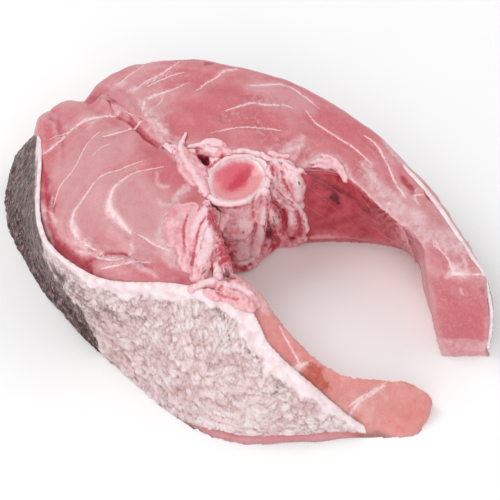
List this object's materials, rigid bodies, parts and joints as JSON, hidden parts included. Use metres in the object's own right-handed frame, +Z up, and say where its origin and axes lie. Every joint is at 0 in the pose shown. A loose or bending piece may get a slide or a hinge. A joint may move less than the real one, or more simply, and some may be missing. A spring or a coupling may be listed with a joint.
{
  "type": "raw groper steak",
  "caption": "Thick cross-cut slice of a large raw sea fish: horseshoe of pink flesh with belly flaps round an open cavity, backbone in the middle and scaly skin outside.",
  "frame": {"origin": "on the board, under the middle of the steak's box", "axes": "+Z up through the slice, along the fish; +Y towards the fish's back, -Y towards its belly; the near loin, whose skin shows best, is at -X"},
  "size_m": [0.1628, 0.2294, 0.0454],
  "materials": {
    "flesh": "wet raw fish flesh, dusty pink with pale lines between the flakes",
    "skin": "wet fish skin, grey-brown towards the back and white with small scales towards the belly",
    "membrane": "thin wet membrane, white folds over dark red flesh",
    "bone": "raw bone and gristle, whitish pink rim round a rosy hollow"
  },
  "bodies": {
    "root": {"flesh": "flesh", "near_skin": "skin", "far_skin": "skin", "cavity_lining": "membrane", "lower_vertebra": "bone", "upper_vertebra": "bone"}
  },
  "joints": []
}
